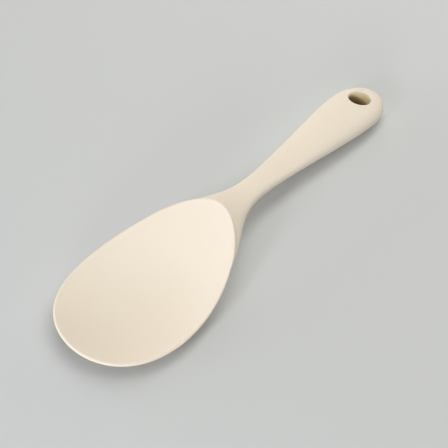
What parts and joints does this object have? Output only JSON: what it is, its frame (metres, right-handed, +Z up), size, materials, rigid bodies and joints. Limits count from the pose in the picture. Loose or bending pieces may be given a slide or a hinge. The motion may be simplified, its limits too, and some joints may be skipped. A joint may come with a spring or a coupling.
{
  "type": "rice paddle",
  "caption": "Rice paddle with a shallow egg-shaped dish, a waisted neck and a swelling handle with a hanging hole; soft skin moulded round a stiff core.",
  "frame": {"origin": "on the table, under the middle of the bounding box, with the paddle lying at rest, dish up", "axes": "+X along the length towards the handle's end, +Y across, +Z up from the table"},
  "size_m": [0.2377, 0.0692, 0.0266],
  "materials": {
    "silicone": "matte cream silicone",
    "core_nylon": "natural glass-filled nylon"
  },
  "bodies": {
    "root": {"silicone_body": "silicone", "nylon_core": "core_nylon"}
  },
  "joints": []
}
